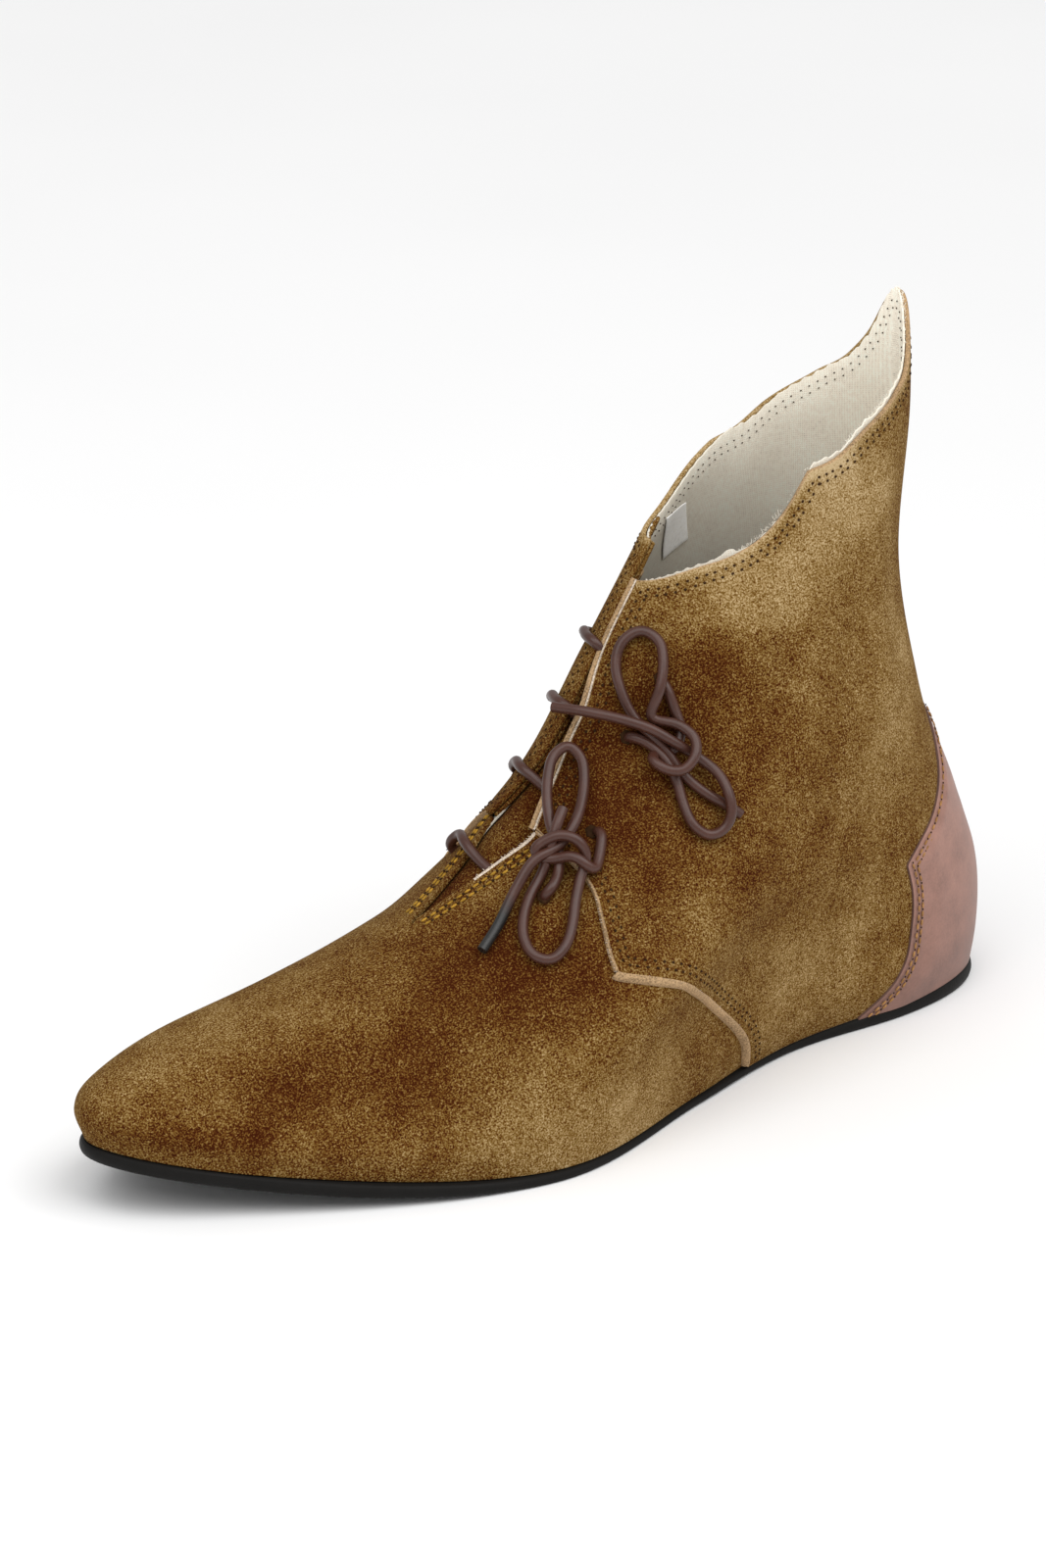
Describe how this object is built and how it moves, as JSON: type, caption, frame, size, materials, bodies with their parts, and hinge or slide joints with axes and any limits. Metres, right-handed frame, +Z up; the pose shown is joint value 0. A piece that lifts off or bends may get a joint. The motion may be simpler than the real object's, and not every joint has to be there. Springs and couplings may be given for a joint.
{
  "type": "ankle boot",
  "caption": "Laced ankle boot in brown suede for the left foot, with a thin rubber sole, a leather heel counter and a pointed collar.",
  "frame": {"origin": "on the floor under the middle of the heel", "axes": "+X from the heel to the toe, +Y to the outer side of the left foot, +Z up"},
  "size_m": [0.2728, 0.0955, 0.1865],
  "materials": {
    "sole_rubber": "matt black rubber",
    "insole": "plain undyed liner",
    "suede": "golden brown suede with a short nap",
    "counter_leather": "smooth red-brown leather",
    "tongue_suede": "brown suede",
    "lace_leather": "dark red-brown round leather lace"
  },
  "bodies": {
    "root": {"outsole": "sole_rubber", "insole": "insole", "upper": "suede", "heel_counter": "counter_leather", "tongue": "tongue_suede", "lace_bar_1": "lace_leather", "lace_bar_2": "lace_leather", "lace_bar_3": "lace_leather", "lace_bar_4": "lace_leather", "upper_bow_knot": "lace_leather", "upper_bow_long_end": "lace_leather", "upper_bow_loop_up": "lace_leather", "upper_bow_loop_down": "lace_leather", "upper_bow_low_strand": "lace_leather", "upper_bow_high_strand": "lace_leather", "upper_bow_short_end": "lace_leather", "lower_bow_knot": "lace_leather", "lower_bow_long_end": "lace_leather", "lower_bow_loop_up": "lace_leather", "lower_bow_loop_down": "lace_leather", "lower_bow_low_strand": "lace_leather", "lower_bow_high_strand": "lace_leather", "lower_bow_short_end": "lace_leather"}
  },
  "joints": []
}
